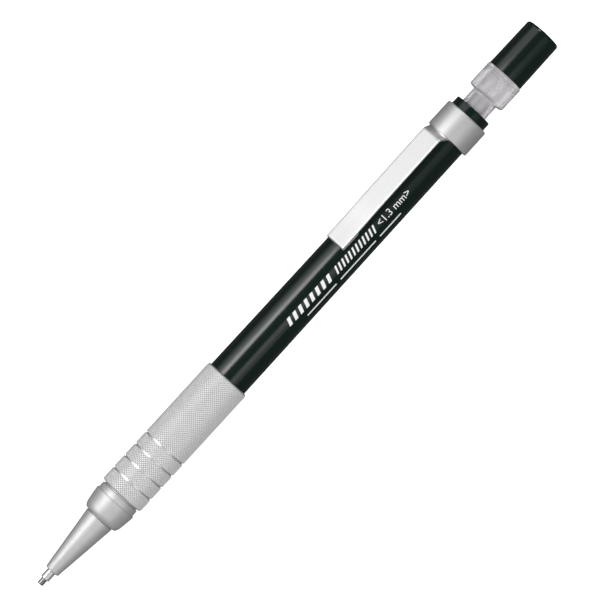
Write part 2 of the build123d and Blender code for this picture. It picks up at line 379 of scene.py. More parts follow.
def group_tree(name: str, inputs: dict[str, float], outputs: list[str]) -> tuple[Sockets, dict, dict]:
    """An empty shader node group with number inputs and outputs.

    Args:
        name: the group's name.
        inputs: input names and default values.
        outputs: output names.

    Returns:
        The group's Sockets, its input sockets by name and its output sockets by name.
    """
    tree = bpy.data.node_groups.new(name, "ShaderNodeTree")
    for label, value in inputs.items():
        socket = tree.interface.new_socket(label, in_out="INPUT", socket_type="NodeSocketFloat")
        socket.default_value = value
    for label in outputs:
        tree.interface.new_socket(label, in_out="OUTPUT", socket_type="NodeSocketFloat")
    kit = Sockets(tree)
    entry = kit.add("NodeGroupInput")
    leave = kit.add("NodeGroupOutput")
    return kit, {k: entry.outputs[k] for k in inputs}, {k: leave.inputs[k] for k in outputs}


def worked_surface_group() -> bpy.types.NodeTree:
    """Fine working marks: noise stretched along or around the pencil.

    Formula: height = noise(x * Along, y * Across, z * Across), and shade is the same noise five times
    coarser, so that brightness drifts slowly over the surface.

    Returns:
        The node group, with inputs Along and Across and outputs Height and Shade.
    """
    kit, given, out = group_tree("worked_surface", {"Along": 1000.0, "Across": 1000.0}, ["Height", "Shade"])
    place = kit.add("ShaderNodeTexCoord")
    stretch = kit.add("ShaderNodeCombineXYZ")
    kit.join(given["Along"], stretch.inputs["X"])
    kit.join(given["Across"], stretch.inputs["Y"])
    kit.join(given["Across"], stretch.inputs["Z"])
    scaled = kit.add("ShaderNodeVectorMath", operation="MULTIPLY")
    kit.join(place.outputs["Object"], scaled.inputs[0])
    kit.join(stretch.outputs["Vector"], scaled.inputs[1])
    for label, scale, detail in (("Height", 1.0, 3.0), ("Shade", 0.2, 2.0)):
        noise = kit.add("ShaderNodeTexNoise")
        noise.inputs["Scale"].default_value = scale
        noise.inputs["Detail"].default_value = detail
        kit.join(scaled.outputs["Vector"], noise.inputs["Vector"])
        kit.join(noise.outputs["Fac"], out[label])
    return kit.tree


def handling_group() -> bpy.types.NodeTree:
    """Faint smears and dust from handling.

    Formula: mask = smoothstep of a broad noise between Low and High.

    Returns:
        The node group, with inputs Cells, Low and High and output Mask.
    """
    kit, given, out = group_tree("handling_marks", {"Cells": 260.0, "Low": 0.45, "High": 0.75}, ["Mask"])
    place = kit.add("ShaderNodeTexCoord")
    noise = kit.add("ShaderNodeTexNoise")
    noise.inputs["Detail"].default_value = 5.0
    noise.inputs["Roughness"].default_value = 0.6
    kit.join(place.outputs["Object"], noise.inputs["Vector"])
    kit.join(given["Cells"], noise.inputs["Scale"])
    ramp = kit.add("ShaderNodeMapRange", interpolation_type="SMOOTHSTEP")
    kit.join(noise.outputs["Fac"], ramp.inputs["Value"])
    kit.join(given["Low"], ramp.inputs["From Min"])
    kit.join(given["High"], ramp.inputs["From Max"])
    kit.join(ramp.outputs["Result"], out["Mask"])
    return kit.tree


@dataclass(frozen=True)
class Finish:
    """One material of the pencil: its colour, gloss and worked surface, and any painted shade in its
    recesses.
    """

    name: str
    slot: str
    colour: tuple[float, float, float]
    roughness: float
    grain: Grain
    metallic: float = 0.0
    coat: float = 0.0
    transmission: float = 0.0
    ior: float = 1.5
    grain_height: float = 0.002
    shade_spread: float = 0.04
    smear: float = 0.05
    subsurface: float = 0.0
    # painted shade: how much the base colour darkens where the recess depth mask is full
    painted_recess_shade: float = 0.0

    def material(self) -> bpy.types.Material:
        """The Blender material of this finish, made on first use.

        Returns:
            The material.
        """
        known = bpy.data.materials.get(self.name)
        if known is not None:
            return known
        material = bpy.data.materials.new(self.name)
        material.use_nodes = True
        kit = Sockets(material.node_tree)
        shader = material.node_tree.nodes["Principled BSDF"]
        shader.inputs["Metallic"].default_value = self.metallic
        shader.inputs["IOR"].default_value = self.ior
        shader.inputs["Transmission Weight"].default_value = self.transmission
        shader.inputs["Coat Weight"].default_value = self.coat
        shader.inputs["Coat Roughness"].default_value = COAT_ROUGHNESS
        if self.subsurface > 0:
            shader.inputs["Subsurface Weight"].default_value = self.subsurface
            shader.inputs["Subsurface Scale"].default_value = MM
        worked = kit.add("ShaderNodeGroup", node_tree=bpy.data.node_groups["worked_surface"])
        worked.inputs["Along"].default_value, worked.inputs["Across"].default_value = self.grain.value
        marks = kit.add("ShaderNodeGroup", node_tree=bpy.data.node_groups["handling_marks"])
        shades = kit.add("ShaderNodeMix", data_type="RGBA")
        ends = [socket for socket in shades.inputs if socket.type == "RGBA"]
        for socket, share in zip(ends, (1 - self.shade_spread, 1 + self.shade_spread)):
            socket.default_value = (*(min(1.0, channel * share) for channel in self.colour), 1.0)
        kit.join(worked.outputs["Shade"], shades.inputs["Factor"])
        colour = next(s for s in shades.outputs if s.type == "RGBA")
        # Painted shade: the base colour darkens with the recess depth mask, standing in for shade in the
        # knurl's cuts.
        if self.painted_recess_shade > 0:
            depth = kit.add("ShaderNodeAttribute", attribute_name="painted_shade_depth")
            shaded = kit.add("ShaderNodeVectorMath", operation="SCALE")
            kit.join(colour, shaded.inputs[0])
            lost = kit.math("MULTIPLY", depth.outputs["Fac"], self.painted_recess_shade)
            kit.join(kit.math("SUBTRACT", 1.0, lost), shaded.inputs["Scale"])
            colour = shaded.outputs["Vector"]
        kit.join(colour, shader.inputs["Base Color"])
        smeared = kit.math("MULTIPLY", marks.outputs["Mask"], self.smear)
        kit.join(kit.math("ADD", smeared, self.roughness), shader.inputs["Roughness"])
        bump = kit.add("ShaderNodeBump")
        bump.inputs["Distance"].default_value = self.grain_height * MM
        kit.join(worked.outputs["Height"], bump.inputs["Height"])
        kit.join(bump.outputs["Normal"], shader.inputs["Normal"])
        return material

    def dress(self, piece: bpy.types.Object, body: str, *nodes: str) -> bpy.types.Object:
        """Give a piece this finish and its body, and hide the CAD nodes it stands for.

        Args:
            piece: the object.
            body: the body that it moves with.
            *nodes: CAD nodes that the piece replaces.

        Returns:
            The same object.
        """
        piece.data.materials.append(self.material())
        if nodes:
            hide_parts(*nodes)
        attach(piece, body)
        LOG.info("%s: %d faces on %s", piece.name, len(piece.data.polygons), body)
        return piece


GRAPHITE = Finish("graphite_lead", "graphite", (0.34, 0.34, 0.35), 0.3, Grain.TURNED, metallic=0.85)
POLISHED_PIPE = Finish("polished_pipe", "pipe_steel", (0.82, 0.82, 0.81), 0.3, Grain.TURNED, metallic=0.75)
SATIN_NICKEL = Finish("satin_nickel_turned", "satin_nickel", (0.73, 0.73, 0.73), 0.51, Grain.TURNED,
                      metallic=0.68, grain_height=0.012, shade_spread=0.07)
PLATED_TUBE = Finish("plated_core_tube", "plated_brass", (0.72, 0.72, 0.72), 0.5, Grain.TURNED,
                     metallic=0.68, grain_height=0.012, shade_spread=0.07)
# The knurl's cuts carry painted shade: the colour darkens with cut depth.
KNURLED_GRIP = Finish("knurled_aluminium", "grip_aluminium", (0.90, 0.90, 0.902), 0.42, Grain.BLASTED,
                      metallic=0.35, grain_height=0.003, painted_recess_shade=0.52)
BRIGHT_GROOVE = Finish("bright_cut_aluminium", "grip_aluminium", (0.92, 0.92, 0.92), 0.34, Grain.TURNED,
                       metallic=0.75, grain_height=0.003)
DARK_GLOSS = Finish("dark_gloss_plastic", "dark_plastic", (0.0020, 0.0092, 0.0072), 0.2, Grain.POLISHED,
                    coat=0.5, grain_height=0.001)
STAMPED_STEEL = Finish("satin_clip_steel", "clip_steel", (0.79, 0.79, 0.795), 0.36, Grain.DRAWN,
                       metallic=0.85, grain_height=0.002)
# The ring is the clip's one steel painted darker than the arm: painted shade on the ring.
SHADED_RING_STEEL = Finish("satin_ring_steel_painted_shade", "clip_steel", (0.72, 0.72, 0.725), 0.48, Grain.DRAWN,
                    metallic=0.72, grain_height=0.002)
CLEAR_KNOB = Finish("milky_clear_plastic", "clear_plastic", (0.74, 0.725, 0.75), 0.25, Grain.MOULDED,
                    transmission=0.7, ior=1.47, grain_height=0.004)
SMOKE_TUBE = Finish("smoke_tank_plastic", "smoke_plastic", (0.14, 0.133, 0.144), 0.3, Grain.DRAWN,
                    transmission=0.3, ior=1.45, grain_height=0.02, shade_spread=0.25)
ERASER_WHITE = Finish("white_eraser_rubber", "white_eraser", (0.86, 0.86, 0.84), 0.75, Grain.MOULDED,
                      grain_height=0.01, subsurface=0.1)
RETAINER_BLACK = Finish("retainer_rubber_black", "retainer_rubber", (0.02, 0.02, 0.02), 0.6, Grain.MOULDED)
CHUCK_BRASS = Finish("machined_brass", "chuck_brass", (0.72, 0.50, 0.22), 0.28, Grain.TURNED, metallic=1.0)
NATURAL_PLASTIC = Finish("natural_white_plastic", "white_plastic", (0.80, 0.80, 0.77), 0.4, Grain.MOULDED,
                         subsurface=0.15)
SPRING_WIRE = Finish("spring_wire_steel", "spring_steel", (0.56, 0.56, 0.56), 0.22, Grain.POLISHED,
                     metallic=1.0)
PRINT_WHITE = Finish("print_white_ink", "dark_plastic", (0.78, 0.79, 0.78), 0.45, Grain.MOULDED)


# ------------------------------------------------------------------ the pencil's sub-assemblies


@dataclass(frozen=True)
class Point:
    """The pencil's point: lead, guide pipe, cone, retainer and collar."""

    lead_radius: float = 0.65
    lead_end: float = 38.0
    wear: float = 0.12
    worn_side: tuple[float, float] = (0.86, 0.51)
    pipe_start: float = 1.47
    pipe_radius: float = 0.97
    pipe_end: float = 8.4
    shank_radius: float = 1.2
    cone_start: float = 3.53
    cone_end: float = 17.5
    cone_front_radius: float = 1.55
    cone_rear_radius: float = 3.2
    spigot_end: float = 21.4
    spigot_radius: float = 2.75
    clutch_stop: float = 14.0
    clutch_chamber_radius: float = 2.2
    jaw_chamber_radius: float = 1.95
    retainer_end: float = 10.7
    retainer_radius: float = 1.35
    seam: float = 0.12
    collar_start: float = 17.55
    collar_end: float = 22.06
    collar_step: float = 19.0
    collar_bore: float = 3.4
    rim_recess: float = 0.3

    def lead(self) -> None:
        """The lead in use, its end worn on one side.

        Formula: a worn point moves back by wear * ((1 - q) / 2) ** 1.5, where q runs from -1 on the
        worn side to 1 on the other, fading out over the first lead radius.
        """
        r = self.lead_radius
        outline = rounded_outline(
            [Corner(0, 0), Corner(0, r, 0.14), Corner(1.0, r), Corner(self.lead_end, r, 0.1),
             Corner(self.lead_end, 0)],
            closed=False,
        )
        inner = np.linspace(0, r * 0.7, 6)[:, None] * [[0.0, 1.0]]
        piece = turned("lead_stick", np.concatenate([inner, outline[1:]]), closed=False, around=64)
        mesh = piece.data
        co = vertex_places(mesh)
        behind = (co[:, 0] - DATUM.tip_x) / MM
        across, up = co[:, 1] / MM, (co[:, 2] - DATUM.axis_z) / MM
        side = (across * self.worn_side[0] + up * self.worn_side[1]) / r
        worn = self.wear * ((1 - np.clip(side, -1, 1)) / 2) ** 1.5
        co[:, 0] += worn * np.clip(1 - behind / r, 0, 1) * MM
        mesh.vertices.foreach_set("co", co.ravel())
        mesh.update()
        GRAPHITE.dress(piece, "lead_unit", "lead_core")

    def pipe(self) -> None:
        """The polished guide pipe with its shank inside the cone."""
        bore = self.lead_radius + 0.05
        outline = rounded_outline([
            Corner(self.pipe_start, bore, 0.05), Corner(self.pipe_start, self.pipe_radius, 0.15),
            Corner(self.cone_start, self.pipe_radius), Corner(self.cone_start, self.shank_radius),
            Corner(self.pipe_end, self.shank_radius), Corner(self.pipe_end, bore),
        ])
        POLISHED_PIPE.dress(turned("lead_guide_pipe", outline, around=96), "barrel_unit", "guide_pipe")

    def cone(self) -> None:
        """The satin cone with its stepped bore and rear spigot."""
        rear = self.cone_end - self.seam
        outline = rounded_outline([
            Corner(self.cone_start, self.shank_radius), Corner(self.cone_start, self.cone_front_radius, 0.28),
            Corner(rear, self.cone_rear_radius, 0.08), Corner(rear, self.spigot_radius),
            Corner(self.spigot_end, self.spigot_radius), Corner(self.spigot_end, self.clutch_chamber_radius),
            Corner(self.clutch_stop, self.clutch_chamber_radius),
            Corner(self.clutch_stop, self.jaw_chamber_radius),
            Corner(self.retainer_end, self.jaw_chamber_radius),
            Corner(self.retainer_end, self.retainer_radius),
            Corner(self.pipe_end, self.retainer_radius), Corner(self.pipe_end, self.shank_radius),
        ])
        SATIN_NICKEL.dress(turned("point_cone", outline), "barrel_unit", "tip_cone")

    def retainer(self) -> None:
        """The rubber ring that holds the lead."""
        bore = self.lead_radius + 0.01
        outline = rounded_outline([
            Corner(self.pipe_end, bore, 0.1), Corner(self.pipe_end, self.retainer_radius, 0.1),
            Corner(self.retainer_end, self.retainer_radius, 0.1), Corner(self.retainer_end, bore, 0.1),
        ], steps=3)
        RETAINER_BLACK.dress(turned("rubber_retainer", outline, around=64), "barrel_unit", "lead_retainer")

    def collar(self) -> None:
        """The collar, a rounded shoulder that swells towards the grip."""
        crown = curve_through(
            [(self.collar_start, 3.45), (18.24, 4.11), (19.8, 4.42), (self.collar_end - 0.12, 4.68)],
            start=(0.1, 0.9), end=(1.6, 0.08),
        )
        face = self.collar_start + self.rim_recess
        rear = np.array([
            (self.collar_end - 0.03, 4.67), (self.collar_end, 4.64), (self.collar_end, self.collar_bore),
            (self.collar_step, self.collar_bore), (self.collar_step, self.spigot_radius),
            (face, self.spigot_radius), (face, 3.1),
        ])
        outline = np.concatenate([crown, rear])
        SATIN_NICKEL.dress(turned("shoulder_collar", outline), "barrel_unit", "nose_collar")

    def build(self) -> None:
        """Build every piece of the point."""
        self.lead()
        self.pipe()
        self.cone()
        self.retainer()
        self.collar()


@dataclass(frozen=True)
class Grip:
    """The knurled grip on its core tube."""

    start: float = 23.73
    end: float = 54.7
    radius: float = 4.924
    bore: float = 3.9
    edge: float = 0.5
    knurl_starts: int = 56
    knurl_depth: float = 0.125
    knurl_flat: float = 0.25
    groove_stations: tuple[float, ...] = (26.96, 30.1, 33.2, 36.3)
    groove_width: float = 0.4
    groove_depth: float = 0.3
    groove_lip: float = 0.03
    groove_margin: float = 0.005
    neck_start: float = 22.06
    neck_radius: float = 4.42
    tube_end: float = 62.0

    def cut_share(self, phase: np.ndarray) -> np.ndarray:
        """Depth of one family of V cuts, from 0 on the flats to 1 in a cut's floor.

        Formula: 1 - (distance to the nearest whole number) / flat, not below 0.

        Args:
            phase: place across the cuts, whole at each cut's floor.

        Returns:
            The depth shares.
        """
        return np.clip(1 - np.abs(phase - np.round(phase)) / self.knurl_flat, 0, 1)

    def rows(self) -> tuple[np.ndarray, np.ndarray, np.ndarray]:
        """Stations of the knurl's rows, with the grooves' walls between them.

        Formula: rows stand a quarter of the knurl's pitch apart, and the limit radius is the grip's
        radius, less a quarter round at each end: R - e + sqrt(e^2 - (e - d)^2) at d from the end.

        Returns:
            Stations, limit radii and a mask that is 0 in the grooves.
        """
        step = self.pitch / 4
        station = self.start + step * np.arange(int((self.end - self.start) / step))
        station = np.append(station, self.end)
        knurled = np.ones_like(station)
        limit = np.full_like(station, self.radius)
        half, lip = self.groove_width / 2, self.groove_lip
        floor = self.radius - self.groove_depth
        for groove in self.groove_stations:
            keep = np.abs(station - groove) > half + lip
            station, knurled, limit = station[keep], knurled[keep], limit[keep]
            walls = [groove - half, groove - half + lip, groove, groove + half - lip, groove + half]
            station = np.append(station, walls)
            limit = np.append(limit, [self.radius, floor, floor, floor, self.radius])
            knurled = np.append(knurled, [1, 0, 0, 0, 1])
        order = np.argsort(station, kind="stable")
        station, knurled, limit = station[order], knurled[order], limit[order]
        inside = np.minimum(np.minimum(station - self.start, self.end - station), self.edge)
        rounding = self.edge - np.sqrt(np.maximum(self.edge**2 - (self.edge - inside) ** 2, 0))
        return station, limit - rounding, knurled

    @property
    def pitch(self) -> float:
        """Distance round the grip from one cut to the next, 2 pi R over the number of starts."""
        return FULL_TURN * self.radius / self.knurl_starts

    def sleeve(self) -> None:
        """The grip sleeve with a cut diamond knurl.

        Formula: with u the turn times the starts and v the distance from the front over the pitch, two
        families of V cuts lie where u + v and u - v are whole; the radius is the smaller of the limit
        radius and R - depth * max(cut(u + v), cut(u - v)). Each grid quad is split along the family
        that cuts it, so that every crease of the diamonds is an edge.
        """
        station, limit, knurled = self.rows()
        columns = self.knurl_starts * 4
        u = np.arange(columns)[None, :] / 4
        v = ((station - self.start) / self.pitch)[:, None]
        right, left = u + v, u - v
        cut = np.maximum(self.cut_share(right), self.cut_share(left)) * knurled[:, None]
        radius = np.minimum(limit[:, None], self.radius - self.knurl_depth * cut)
        radius = np.where(knurled[:, None] > 0, radius, limit[:, None])
        bore = np.full((1, columns), self.bore)
        radius = np.concatenate([bore, radius, bore])
        station = np.concatenate([[self.start], station, [self.end]])
        angle = u / self.knurl_starts * FULL_TURN
        points = DATUM.place(station[:, None], radius * np.sin(angle), radius * np.cos(angle))
        quads = grid_quads(len(station), columns, True, True)
        family = self.split_family(right, left).ravel()
        outer = slice(columns, columns + len(family))
        by_left = np.zeros(len(quads), bool)
        by_left[outer] = family
        a, b, c, d = quads.T
        along_left = np.stack([a, b, c], 1), np.stack([a, c, d], 1)
        along_right = np.stack([a, b, d], 1), np.stack([b, c, d], 1)
        pick = by_left[:, None]
        faces = np.concatenate([np.where(pick, x, y) for x, y in zip(along_left, along_right)])
        grip = make_piece("knurled_grip", points, faces, crease=24.0)
        KNURLED_GRIP.dress(grip, "barrel_unit", "grip_sleeve")
        self.paint_recess_shade_and_grooves(grip.data)

    def paint_recess_shade_and_grooves(self, mesh: bpy.types.Mesh) -> None:
        """Give the knurl's cuts a depth mask for painted shade, and the grooves their bright-cut finish.

        Formula: recess = (R - r) / depth, cut to 0..1; a face is in a groove if its middle is under R
        and no farther than half a groove from a groove's station.

        Args:
            mesh: the sleeve's mesh, already dressed.
        """
        co = vertex_places(mesh)
        radius = np.hypot(co[:, 1], co[:, 2] - DATUM.axis_z) / MM
        # Painted shade: the cut depth, stored per point, darkens the grip's colour in the knurl.
        painted_shade_depth = mesh.attributes.new("painted_shade_depth", "FLOAT", "POINT")
        share = np.clip((self.radius - radius) / self.knurl_depth, 0, 1)
        painted_shade_depth.data.foreach_set("value", share.astype(np.float32))
        middle = np.empty(len(mesh.polygons) * 3, np.float32)
        mesh.polygons.foreach_get("center", middle)
        middle = middle.reshape(-1, 3)
        station = (middle[:, 0] - DATUM.tip_x) / MM
        radius = np.hypot(middle[:, 1], middle[:, 2] - DATUM.axis_z) / MM
        away = np.abs(station[:, None] - np.array(self.groove_stations)).min(1)
        near = away < self.groove_width / 2 + self.groove_margin
        mesh.materials.append(BRIGHT_GROOVE.material())
        mesh.polygons.foreach_set("material_index", (near & (radius > self.bore + 0.1)).astype(np.int32))

    def split_family(self, right: np.ndarray, left: np.ndarray) -> np.ndarray:
        """Which family of cuts each quad is split along.

        Formula: a family scores twice its cut at the quad's middle plus its larger cut at the two
        corners off its own diagonal; the higher score wins.

        Args:
            right: phases of the right-hand family at the grid points.
            left: phases of the left-hand family at the grid points.

        Returns:
            True where the quad is split along the left-hand family.
        """
        here = right[:-1], left[:-1]
        ahead = right[1:], left[1:]
        quarter = 0.25
        middle_right, middle_left = here[0] + quarter, here[1]
        score_right = 2 * self.cut_share(middle_right) + np.maximum(
            self.cut_share(here[0]), self.cut_share(ahead[0] + quarter)
        )
        score_left = 2 * self.cut_share(middle_left) + np.maximum(
            self.cut_share(ahead[1]), self.cut_share(here[1] + quarter)
        )
        return score_left > score_right

    def tube(self) -> None:
        """The plated core tube, of which only the neck ring shows."""
        outline = rounded_outline([
            Corner(19.0, 2.75), Corner(19.0, 3.4), Corner(self.neck_start, 3.4),
            Corner(self.neck_start, self.neck_radius, 0.06), Corner(22.95, self.neck_radius, 0.04),
            Corner(23.0, 4.38, 0.02), Corner(23.4, 4.38, 0.04),
            Corner(23.44, 4.0, 0.04), Corner(self.start, 4.0),
            Corner(self.start, self.bore), Corner(self.end, self.bore), Corner(self.end, 3.3),
            Corner(self.tube_end, 3.3), Corner(self.tube_end, 2.6), Corner(22.3, 2.6), Corner(22.3, 2.75),
        ], steps=3)
        PLATED_TUBE.dress(turned("threaded_core_tube", outline), "barrel_unit", "core_tube")

    def build(self) -> None:
        """Build the tube and the sleeve."""
        self.tube()
        self.sleeve()


@dataclass(frozen=True)
class PrintedBar:
    """A bar printed on the barrel: its place and size drawn flat, and its side edges' lean."""

    start: float
    length: float
    middle: float
    height: float
    slant: float = 0.0


@dataclass(frozen=True)
class Barrel:
    """The tapered barrel and the marks printed on it."""

    start: float = 54.7
    end: float = 126.1
    front_radius: float = 4.39
    rear_radius: float = 4.10
    mark_angle: float = 50.0
    mark_height: float = 1.65
    mark_start: float = 96.8
    dash_middle: float = -2.15
    dashes: tuple[tuple[float, float], ...] = ((74.4, 8.4), (84.0, 10.2), (95.4, 6.1))
    ink: float = 0.012
    strip: float = 0.15

    def radius_at(self, station: np.ndarray) -> np.ndarray:
        """Outer radius at a station, by straight taper.

        Args:
            station: distances from the lead's tip.

        Returns:
            The radii.
        """
        share = (station - self.start) / (self.end - self.start)
        return self.front_radius + share * (self.rear_radius - self.front_radius)

    def shell(self) -> None:
        """The moulded barrel."""
        outline = rounded_outline([
            Corner(self.start, 3.3), Corner(self.start, self.front_radius, 0.12),
            Corner(self.end, self.rear_radius, 0.22), Corner(self.end, 2.96, 0.1), Corner(116.0, 2.96),
            Corner(116.0, 3.1), Corner(62.0, 3.1), Corner(62.0, 3.3),
        ])
        DARK_GLOSS.dress(turned("dark_barrel", outline), "barrel_unit", "barrel")

    def wrap(self, piece: bpy.types.Object) -> None:
        """Lay a flat printed mesh round the barrel.

        Formula: x is a station, y runs round the barrel by y / r from the marks' middle line, and z is
        the height over the barrel's radius.

        Args:
            piece: a mesh object drawn flat, in millimetres.
        """
        mesh = piece.data
        station, sideways, height = vertex_places(mesh).astype(float).T
        surface = self.radius_at(station)
        angle = math.radians(self.mark_angle) - sideways / surface
        radius = surface + height
        placed = DATUM.place(station, -radius * np.sin(angle), radius * np.cos(angle))
        mesh.vertices.foreach_set("co", placed.ravel())
        mesh.update()

    def size_mark(self) -> None:
        """The lead size, printed along the barrel."""
        curve = bpy.data.curves.new("size_mark_text", "FONT")
        curve.body = "<1.3 mm>"
        curve.size = self.mark_height * 1.3
        curve.extrude = self.ink
        curve.align_y = "CENTER"
        flat = bpy.data.objects.new("size_mark_text", curve)
        bpy.context.scene.collection.objects.link(flat)
        bpy.context.view_layer.update()
        mesh = bpy.data.meshes.new_from_object(flat.evaluated_get(bpy.context.evaluated_depsgraph_get()))
        bpy.data.objects.remove(flat)
        bpy.data.curves.remove(curve)
        shape = bmesh.new()
        shape.from_mesh(mesh)
        bmesh.ops.remove_doubles(shape, verts=shape.verts[:], dist=1e-4)
        bmesh.ops.translate(shape, verts=shape.verts[:], vec=(self.mark_start, 0, 0))
        for height in np.arange(-self.mark_height, self.mark_height, self.strip):
            everything = shape.verts[:] + shape.edges[:] + shape.faces[:]
            bmesh.ops.bisect_plane(shape, geom=everything, plane_co=(0, height, 0), plane_no=(0, 1, 0))
        bmesh.ops.triangulate(shape, faces=shape.faces[:])
        shape.to_mesh(mesh)
        shape.free()
        mesh.materials.clear()
        piece = bpy.data.objects.new("size_mark", mesh)
        bpy.context.scene.collection.objects.link(piece)
        self.wrap(piece)
        PRINT_WHITE.dress(piece, "barrel_unit")

    def bars(self, name: str, bars: list[PrintedBar]) -> None:
        """Plain printed bars as one piece, each divided across its height so that it follows the barrel.

        Formula: a bar's side edges lean by x = slant * (y - middle).

        Args:
            name: the piece's name.
            bars: the bars, drawn flat in millimetres.
        """
        points, faces, count = [], [], 0
        for bar in bars:
            rows = max(2, math.ceil(bar.height / self.strip)) + 1
            rise = np.linspace(-bar.height / 2, bar.height / 2, rows)
            rise = np.concatenate([rise[:1], rise, rise[-1:]])[:, None]
            grown = np.ones_like(rise)
            grown[[0, -1]] = 0
            share = 0.5 + np.array([[-0.5, 0.5, 0.5, -0.5]]) * grown
            along = bar.start + bar.length * share + bar.slant * rise
            height = np.array([[-1, -1, 1, 1]]) * self.ink * grown
            places = np.broadcast_arrays(along, bar.middle + rise, height)
            points.append(np.stack(places, axis=2).reshape(-1, 3))
            faces.append(grid_quads(len(rise), 4, False, True) + count)
            count += len(rise) * 4
        piece = make_piece(name, np.concatenate(points), np.concatenate(faces))
        self.wrap(piece)
        PRINT_WHITE.dress(piece, "barrel_unit")

    def build(self) -> None:
        """Build the barrel and its marks."""
        self.shell()
        self.size_mark()
        self.bars("printed_hatch_bold", [PrintedBar(70.8 + 1.62 * i, 0.8, 0.0, 1.6, 0.4) for i in range(8)])
        self.bars("printed_hatch_fine", [PrintedBar(84.6 + 0.98 * i, 0.42, 0.0, 1.6, 0.4) for i in range(12)])
        self.bars("printed_dashes", [PrintedBar(*dash, self.dash_middle, 0.34) for dash in self.dashes])


@dataclass(frozen=True)
class RingClip:
    """The stamped pocket clip: a ring on the barrel and the spring arm that leaves it."""

    barrel: Barrel
    ring_start: float = 118.3
    ring_end: float = 124.3
    ring_radius: float = 4.86
    arm_start: float = 88.4
    arm_half_width: float = 2.43
    thickness: float = 0.38
    ring_wall: float = 0.72
    arm_tops: tuple[tuple[float, float], ...] = (
        (88.8, 5.08), (94.0, 5.13), (98.8, 5.32), (110.7, 5.52), (117.0, 5.60),
    )
    joggle_start: float = 116.6
    nose_radius: float = 0.41
    tab_straight_end: float = 92.0
    tab_round: float = 2.6
    root_fillet: float = 1.2
    edge: float = 0.12
    tip_round: float = 0.1
    tuck: float = 0.7

    def ring_surface(self) -> tuple[np.ndarray, np.ndarray]:
        """The ring, as a turned band.

        Returns:
            Points in metres and faces.
        """
        outline = rounded_outline([
            Corner(self.ring_start, float(self.barrel.radius_at(np.array(self.ring_start)))),
            Corner(self.ring_start, self.ring_radius, 0.22),
            Corner(self.ring_end, self.ring_radius, 0.4),
            Corner(self.ring_end, float(self.barrel.radius_at(np.array(self.ring_end)))),
        ])
        angle = np.linspace(0, FULL_TURN, AROUND, endpoint=False)[None, :]
        radius = outline[:, 1:2]
        points = DATUM.place(outline[:, 0:1], radius * np.sin(angle), radius * np.cos(angle))
        return points.reshape(-1, 3), grid_quads(len(outline), AROUND, True, True)

    def joggle(self, station: np.ndarray) -> np.ndarray:
        """Share of the step from the flat arm to the ring's curve, by smoothstep.

        Args:
            station: distances from the lead's tip.

        Returns:
            Shares, 0 on the arm and 1 at the ring.
        """
        share = np.clip((station - self.joggle_start) / (self.ring_start - self.joggle_start), 0, 1)
        return share * share * (3 - 2 * share)

    def spine(self) -> tuple[np.ndarray, np.ndarray, np.ndarray]:
        """The sheet's middle line, from the folded tab's end round the nose to the ring.

        Formula: the tab's end is the half ellipse (s + r cos(t), W sin(t)); at the root the half width
        grows by the quarter round f - sqrt(f^2 - (f - d)^2) at d from the ring, and the sheet thickens to
        the ring's wall.

        Returns:
            (station, height) rows, half widths and half thicknesses.
        """
        half = self.thickness / 2
        bend = self.nose_radius - half
        centre = np.array([self.arm_start + self.nose_radius, self.arm_tops[0][1] - self.nose_radius])
        sweep = np.radians(np.linspace(3, 90, 20))
        tab_station = np.concatenate([self.tab_straight_end + self.tab_round * np.cos(sweep),
                                      np.linspace(self.tab_straight_end, centre[0], 7)[1:]])
        tab_width = np.concatenate([self.arm_half_width * np.sin(sweep), np.full(6, self.arm_half_width)])
        tab = np.stack([tab_station, np.full(len(tab_station), centre[1] - bend)], 1)
        turn = np.linspace(-math.pi / 2, math.pi / 2, 17)[1:]
        nose = centre + bend * np.stack([-np.cos(turn), np.sin(turn)], 1)
        station = np.concatenate([
            np.linspace(centre[0] + 0.4, 115.4, 30), np.linspace(115.9, self.ring_start, 24),
            [self.ring_start + 0.2, self.ring_start + self.tuck],
        ])
        step_share = self.joggle(station)
        half_thick = half + step_share * (self.ring_wall / 2 - half)
        crest = curve_through(list(self.arm_tops), start=(4.0, 0.0), end=(4.0, 0.03), steps=16)
        top = np.interp(station, crest[:, 0], crest[:, 1])
        top = top - step_share * (top - self.ring_radius)
        arm = np.stack([station, top - half_thick - np.clip(station - self.ring_start, 0, 0.03)], 1)
        gap = np.clip(self.ring_start - station, 0, self.root_fillet)
        flare = self.root_fillet - np.sqrt(self.root_fillet**2 - (self.root_fillet - gap) ** 2)
        nose_width = np.full(len(nose), self.arm_half_width)
        half_width = np.concatenate([tab_width, nose_width, self.arm_half_width + flare])
        thick = np.concatenate([np.full(len(tab) + len(nose), half), half_thick])
        return np.concatenate([tab, nose, arm]), half_width, thick

    def section(self) -> tuple[np.ndarray, np.ndarray]:
        """The arm's rounded-bar section as unit parts.

        Returns:
            For each point its place on the square of corners (-1..1, -1..1), and its step from there
            as a share of the edge rounding.
        """
        across = np.linspace(1, -1, 13)
        quarter = np.linspace(0, math.pi / 2, 4)
        squares, steps = [], []
        for side_across, side_up, start in ((1, 1, 0.0), (-1, 1, 0.5), (-1, -1, 1.0), (1, -1, 1.5)):
            angle = start * math.pi + quarter
            squares.append(np.tile([side_across, side_up], (4, 1)))
            steps.append(np.stack([np.cos(angle), np.sin(angle)], 1))
            if side_across * side_up > 0:
                flat = across[1:-1] * side_up
                squares.append(np.stack([flat, np.full(11, side_up)], 1))
                steps.append(np.tile([0, side_up], (11, 1)))
        return np.concatenate(squares).astype(float), np.concatenate(steps).astype(float)

